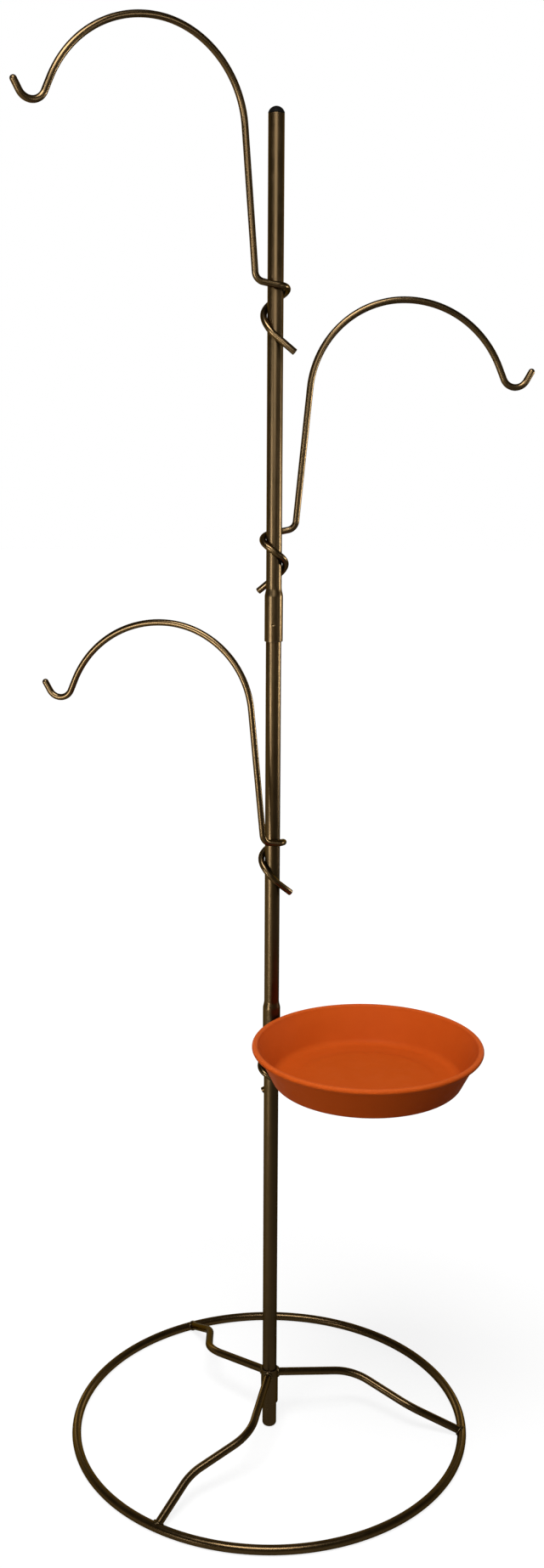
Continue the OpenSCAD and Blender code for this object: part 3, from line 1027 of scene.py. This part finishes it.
saucerSettings = {
    "radius": 142.0,
    "height": 48.0,
    "wall": 2.6,
    "lip": 3.7,
    "lipArc": (-130.0, 168.0, 34),  # from the outside over the top to the inside, and its steps
    "baseRadius": 115.0,
    "heel": 9.0,
    "heelSteps": 10,
    "cove": 12.0,
    "coveSteps": 14,
    "outerRows": (12.0, 20.0, 28.0, 36.0, 43.0),  # along the slope of the wall
    "innerRows": (44.0, 34.0, 24.0, 15.0),
    "floorRadius": 84.0,
    "floorStep": 1.4,
    "floorEase": 7.0,  # half the width of the slope up to the raised floor
    "floorSteps": 8,
    "floorRows": (60.0, 30.0, 0.0),
    "segments": 192,
    "hollow": (58.0, 64.0, 0.7),  # radii and depth of the recess under the middle
    "lipScuffAndSheen": (2.5, 2.0),  # scuffs and a painted sheen on the lip's top: how far down they start, and the height in which they fade in
}


def saucerOutline(sizes):
    wall, lip, base = sizes["wall"], sizes["lip"], sizes["baseRadius"]
    lipAt = (sizes["radius"] - lip, sizes["height"] - lip)
    wallTop = Vector((lipAt[0] - lip + wall, lipAt[1]))
    foot = Vector((base, 0))
    slope = math.atan2(wallTop.y - foot.y, wallTop.x - foot.x)
    degrees = math.degrees(slope)
    up = Vector((math.cos(slope), math.sin(slope)))
    heelStart = base - sizes["heel"] * math.tan(slope / 2)
    coveRun = sizes["cove"] * math.tan(slope / 2)
    corner = foot + Vector((wall / math.tan(slope) - wall / math.sin(slope), wall))
    coveAt = corner + Vector((-coveRun, sizes["cove"]))
    inner, outer, depth = sizes["hollow"]
    under = [(0, depth), (inner, depth), ((inner + outer) / 2, depth / 2), (outer, 0),
             (heelStart, 0)]
    walls = [*arcPoints((heelStart, sizes["heel"]), sizes["heel"], -90, degrees - 90,
                        sizes["heelSteps"]),
             *[foot + up * row for row in sizes["outerRows"]],
             *arcPoints(lipAt, lip, *sizes["lipArc"]),
             *[corner + up * row for row in (*sizes["innerRows"], coveRun)],
             *arcPoints(coveAt, sizes["cove"], degrees - 90, -90, sizes["coveSteps"])]
    edge, step = sizes["floorRadius"], sizes["floorStep"]
    rise = []
    for i in range(sizes["floorSteps"] + 1):
        share = i / sizes["floorSteps"]
        rise.append((edge + sizes["floorEase"] * (1 - 2 * share), wall + step * ease(share)))
    return [*under, *pairs(walls), *rise, *[(row, wall + step) for row in sizes["floorRows"]]]


def makeSaucer(sizes):
    low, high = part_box("saucer")
    centre = Vector(((low.x + high.x) / 2, (low.y + high.y) / 2, low.z)) / mm
    mesh = turnPiece(saucerOutline(sizes), sizes["segments"], centre)
    # the top of the lip is paler: scuffed plastic, and a painted sheen where the light falls on it
    down, fade = sizes["lipScuffAndSheen"]
    paleLipFrom = centre.z + sizes["height"] - down
    wear = [max(0.0, min(1.0, (vertex.co.z - paleLipFrom) / fade)) for vertex in mesh.verts]
    finishPiece("saucerShell", mesh, wear, saucerPlastic, "dish", ["saucer"])


makeSaucer(saucerSettings)
print("saucer made")


# studio: pale floor, white backdrop and soft lamps

studioSettings = {
    "floorSize": 30.0,
    "floorCells": 8,
    "floorDrop": 0.0004,
    "floorColor": (0.21, 0.21, 0.21, 1),
    "floorRoughness": 0.9,
    "floorSpecular": 0.1,
    "floorLift": (0.85, 1.0),  # white seen by the camera, near and far
    "liftReach": (0.5, 1.8),
    "mirrorLift": 0.75,  # the part of it that reflections see on the left
    "mirrorSlope": (-1.2, 0.6, 0.15),  # from left to right that part falls to the last share
    "mirrorTint": (1.0, 0.88, 0.58, 1),  # the warm tone that reflections see
    "skyLevel": 0.10,
    "room": 0.20,  # how bright reflections see the studio beside and in front of the backdrop
    "backdrop": (0.25, 0.70),  # the backdrop's edge, as the share of +Y in a direction
    "ceiling": (0.25, 0.55, 0.30),  # above the backdrop it darkens to the last value
    "lamps": {
        "topBox": {"at": (-0.3, -1.5, 3.4), "aim": (0, 0, 0.4), "shape": "RECTANGLE",
                   "size": (1.7, 1.1), "spread": 180, "watts": 106},
        "archBox": {"at": (1.80, -1.60, 1.35), "aim": (-0.1, -0.05, 1.95), "shape": "ELLIPSE",
                    "size": (0.7, 1.1), "spread": 30, "watts": 0.4},
        "frontBox": {"at": (-0.1, -2.5, 2.35), "aim": (0, 0, 1.9), "shape": "ELLIPSE",
                     "size": (2.8, 1.7), "spread": 50, "watts": 5.2},
        "keyStrip": {"at": (-1.75, -1.95, 0.82), "aim": (0, 0, 1.25), "shape": "RECTANGLE",
                     "size": (0.7, 1.35), "spread": 44, "watts": 3.6},
        "sideStrip": {"at": (2.2, 0.3, 1.05), "aim": (0, 0, 1.25), "shape": "ELLIPSE",
                      "size": (0.5, 0.6), "spread": 40, "watts": 1.7},
        "leftBack": {"at": (-1.38, 2.3, 1.15), "aim": (-0.1, 0, 0), "shape": "RECTANGLE",
                     "size": (0.6, 0.9), "spread": 60, "watts": 0.5},
        "rightBack": {"at": (1.38, 2.3, 1.15), "aim": (0.1, 0, 0), "shape": "RECTANGLE",
                      "size": (0.6, 0.9), "spread": 60, "watts": 0.5},
    },
}


# 1 for what the camera sees, and 1 for what reflections and refractions see
def lookFrom(tree):
    path = addNode(tree, "ShaderNodeLightPath", {})
    mirrored = addMath(tree, "ADD", path["Is Glossy Ray"], path["Is Transmission Ray"], clamp=True)
    return path["Is Camera Ray"], mirrored


# white, and the warm tone for reflections
def roomColor(tree, mirrored, studio):
    return addMix(tree, mirrored, (1, 1, 1, 1), studio["mirrorTint"])


def makeFloor(studio):
    mesh = bmesh.new()
    bmesh.ops.create_grid(mesh, x_segments=studio["floorCells"], y_segments=studio["floorCells"],
                          size=studio["floorSize"] / 2)
    data = bpy.data.meshes.new("studioFloor")
    mesh.to_mesh(data)
    mesh.free()
    floor = bpy.data.objects.new("studioFloor", data)
    floor.location.z = -studio["floorDrop"]
    bpy.context.scene.collection.objects.link(floor)
    material, tree, shader = newMaterial("paleFloor")
    where = objectPlace(tree)
    away = addNode(tree, "ShaderNodeVectorMath", {0: where}, operation="LENGTH")["Value"]
    lift = addRange(tree, away, *studio["liftReach"], *studio["floorLift"])
    left, right, least = studio["mirrorSlope"]
    most = studio["mirrorLift"]
    across = addNode(tree, "ShaderNodeSeparateXYZ", {0: where})["X"]
    slope = addRange(tree, across, left, right, most, least * most)
    seen, mirrored = lookFrom(tree)
    share = addMath(tree, "ADD", seen, addMath(tree, "MULTIPLY", mirrored, slope))
    feed(tree, shader, {"Base Color": studio["floorColor"],
                        "Roughness": studio["floorRoughness"],
                        "Specular IOR Level": studio["floorSpecular"],
                        "Emission Strength": addMath(tree, "MULTIPLY", share, lift),
                        "Emission Color": roomColor(tree, mirrored, studio)})
    data.materials.append(material)


def makeSky(studio):
    world = bpy.data.worlds.new("studioSky")
    world.use_nodes = True
    bpy.context.scene.world = world
    tree = world.node_tree
    where = addNode(tree, "ShaderNodeTexCoord", {})["Generated"]
    toward = addNode(tree, "ShaderNodeSeparateXYZ", {0: where})
    low, high, dark = studio["ceiling"]
    wall = addRange(tree, toward["Y"], *studio["backdrop"], studio["room"], 1.0)
    glow = addMath(tree, "MULTIPLY", wall, addRange(tree, toward["Z"], low, high, 1.0, dark))
    seen, mirrored = lookFrom(tree)
    unseen = addMath(tree, "SUBTRACT", addMath(tree, "SUBTRACT", 1.0, seen), mirrored)
    strength = addMath(tree, "ADD", seen, addMath(tree, "MULTIPLY", mirrored, glow))
    light = addMath(tree, "MULTIPLY", unseen, studio["skyLevel"])
    feed(tree, tree.nodes["Background"], {"Strength": addMath(tree, "ADD", strength, light),
                                          "Color": roomColor(tree, mirrored, studio)})


def makeLamps(studio):
    for name, lamp in studio["lamps"].items():
        data = bpy.data.lights.new(name, "AREA")
        data.shape = lamp["shape"]
        data.size, data.size_y = lamp["size"]
        data.spread = math.radians(lamp["spread"])
        data.energy = lamp["watts"]
        light = bpy.data.objects.new(name, data)
        light.visible_camera = False
        light.location = lamp["at"]
        toward = Vector(lamp["aim"]) - Vector(lamp["at"])
        light.rotation_mode = "QUATERNION"
        light.rotation_quaternion = toward.to_track_quat("-Z", "Y")
        bpy.context.scene.collection.objects.link(light)


makeFloor(studioSettings)
makeSky(studioSettings)
makeLamps(studioSettings)
bpy.context.scene.view_settings.view_transform = "Standard"
print("studio made")
